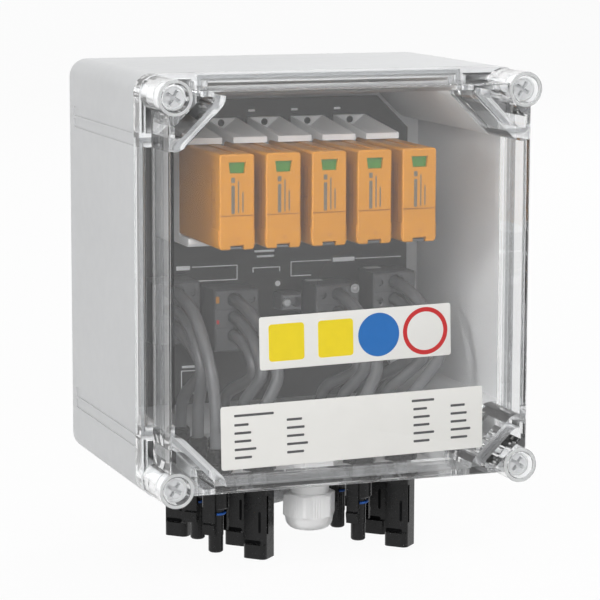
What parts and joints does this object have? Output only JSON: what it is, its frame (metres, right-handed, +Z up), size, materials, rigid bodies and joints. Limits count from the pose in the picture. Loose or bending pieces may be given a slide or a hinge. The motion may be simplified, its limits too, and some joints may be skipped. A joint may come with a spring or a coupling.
{
  "type": "photovoltaic junction box",
  "caption": "Wall-mounted junction box with a clear screwed lid over pull-out surge arresters, terminal blocks and cables, with plug connectors and a cable gland underneath.",
  "frame": {"origin": "centre of the back face, which lies on the wall, amid the four fixing holes", "axes": "+X to the right seen from the front, +Y into the wall, +Z up; the front faces -Y"},
  "size_m": [0.192, 0.1519, 0.2412],
  "materials": {
    "case_grey": "fine satin, light grey",
    "clear_lid": "clear moulded plastic",
    "seal_foam": "soft grey",
    "screw_clear": "milky translucent",
    "plate_dark": "dark anthracite",
    "zinc_steel": "plain zinc plate",
    "module_grey": "fine satin",
    "plug_orange": "fine satin",
    "flag_green": "bright green",
    "contact_copper": "tinned copper alloy",
    "block_black": "moulded black",
    "cable_black": "soft sheath",
    "connector_black": "moulded black",
    "ring_blue": "blue rubber",
    "gland_white": "light grey nylon",
    "vent_milky": "milky translucent"
  },
  "bodies": {
    "case": {"base_housing": "case_grey", "mounting_plate": "plate_dark", "plate_screws": "zinc_steel", "clamp_screws": "zinc_steel", "earth_terminal": "contact_copper", "earth_screw": "zinc_steel", "sealing_rings": "ring_blue", "lock_nuts": "connector_black", "gland_body": "gland_white", "gland_seal": "seal_foam", "gland_lock_nut": "gland_white", "vent_plug": "vent_milky", "arrester_base_1": "module_grey", "arrester_base_2": "module_grey", "arrester_base_3": "module_grey", "arrester_base_4": "module_grey", "arrester_base_5": "module_grey", "terminal_block_1": "block_black", "terminal_block_2": "block_black", "terminal_block_3": "block_black", "terminal_block_4": "block_black", "cables_1": "cable_black", "cables_2": "cable_black", "cables_3": "cable_black", "cables_4": "cable_black", "socket_connector_1": "connector_black", "socket_connector_2": "connector_black", "socket_connector_3": "connector_black", "socket_connector_4": "connector_black", "socket_connector_5": "connector_black", "socket_connector_6": "connector_black", "pin_connector_1": "connector_black", "pin_connector_2": "connector_black", "pin_connector_3": "connector_black", "pin_connector_4": "connector_black", "pin_connector_5": "connector_black", "pin_connector_6": "connector_black"},
    "lid": {"clear_lid": "clear_lid", "lid_gasket": "seal_foam"},
    "gland_cap": {"gland_nut": "gland_white"},
    "lid_screw_body_1": {"lid_screw_1": "screw_clear"},
    "lid_screw_body_2": {"lid_screw_2": "screw_clear"},
    "lid_screw_body_3": {"lid_screw_3": "screw_clear"},
    "lid_screw_body_4": {"lid_screw_4": "screw_clear"},
    "plug_1": {"arrester_plug_1": "plug_orange", "plug_blades_1": "contact_copper"},
    "flag_1": {"status_flag_1": "flag_green"},
    "plug_2": {"arrester_plug_2": "plug_orange", "plug_blades_2": "contact_copper"},
    "flag_2": {"status_flag_2": "flag_green"},
    "plug_3": {"arrester_plug_3": "plug_orange", "plug_blades_3": "contact_copper"},
    "flag_3": {"status_flag_3": "flag_green"},
    "plug_4": {"arrester_plug_4": "plug_orange", "plug_blades_4": "contact_copper"},
    "flag_4": {"status_flag_4": "flag_green"},
    "plug_5": {"arrester_plug_5": "plug_orange", "plug_blades_5": "contact_copper"},
    "flag_5": {"status_flag_5": "flag_green"}
  },
  "joints": [
    {"name": "lid_lift", "type": "slide", "parent": "case", "child": "lid", "axis": [0, -1, 0], "range_m": [0, 0.08]},
    {"name": "lid_screw_turn_1", "type": "hinge", "parent": "lid", "child": "lid_screw_body_1", "pos_m": [0.087, -0.149, 0.091], "axis": [0, 1, 0], "range_deg": [0, 90]},
    {"name": "lid_screw_turn_2", "type": "hinge", "parent": "lid", "child": "lid_screw_body_2", "pos_m": [-0.087, -0.149, 0.091], "axis": [0, 1, 0], "range_deg": [0, 90]},
    {"name": "lid_screw_turn_3", "type": "hinge", "parent": "lid", "child": "lid_screw_body_3", "pos_m": [-0.087, -0.149, -0.091], "axis": [0, 1, 0], "range_deg": [0, 90]},
    {"name": "lid_screw_turn_4", "type": "hinge", "parent": "lid", "child": "lid_screw_body_4", "pos_m": [0.087, -0.149, -0.091], "axis": [0, 1, 0], "range_deg": [0, 90]},
    {"name": "plug_pull_1", "type": "slide", "parent": "case", "child": "plug_1", "axis": [0, -1, 0], "range_m": [0, 0.03]},
    {"name": "flag_drop_1", "type": "slide", "parent": "plug_1", "child": "flag_1", "axis": [0, 0, -1], "range_m": [0, 0.007]},
    {"name": "plug_pull_2", "type": "slide", "parent": "case", "child": "plug_2", "axis": [0, -1, 0], "range_m": [0, 0.03]},
    {"name": "flag_drop_2", "type": "slide", "parent": "plug_2", "child": "flag_2", "axis": [0, 0, -1], "range_m": [0, 0.007]},
    {"name": "plug_pull_3", "type": "slide", "parent": "case", "child": "plug_3", "axis": [0, -1, 0], "range_m": [0, 0.03]},
    {"name": "flag_drop_3", "type": "slide", "parent": "plug_3", "child": "flag_3", "axis": [0, 0, -1], "range_m": [0, 0.007]},
    {"name": "plug_pull_4", "type": "slide", "parent": "case", "child": "plug_4", "axis": [0, -1, 0], "range_m": [0, 0.03]},
    {"name": "flag_drop_4", "type": "slide", "parent": "plug_4", "child": "flag_4", "axis": [0, 0, -1], "range_m": [0, 0.007]},
    {"name": "plug_pull_5", "type": "slide", "parent": "case", "child": "plug_5", "axis": [0, -1, 0], "range_m": [0, 0.03]},
    {"name": "flag_drop_5", "type": "slide", "parent": "plug_5", "child": "flag_5", "axis": [0, 0, -1], "range_m": [0, 0.007]},
    {"name": "gland_nut_turn", "type": "hinge", "parent": "case", "child": "gland_cap", "pos_m": [0.0015, -0.088, -0.12], "axis": [0, 0, 1], "range_deg": [0, 360]}
  ]
}
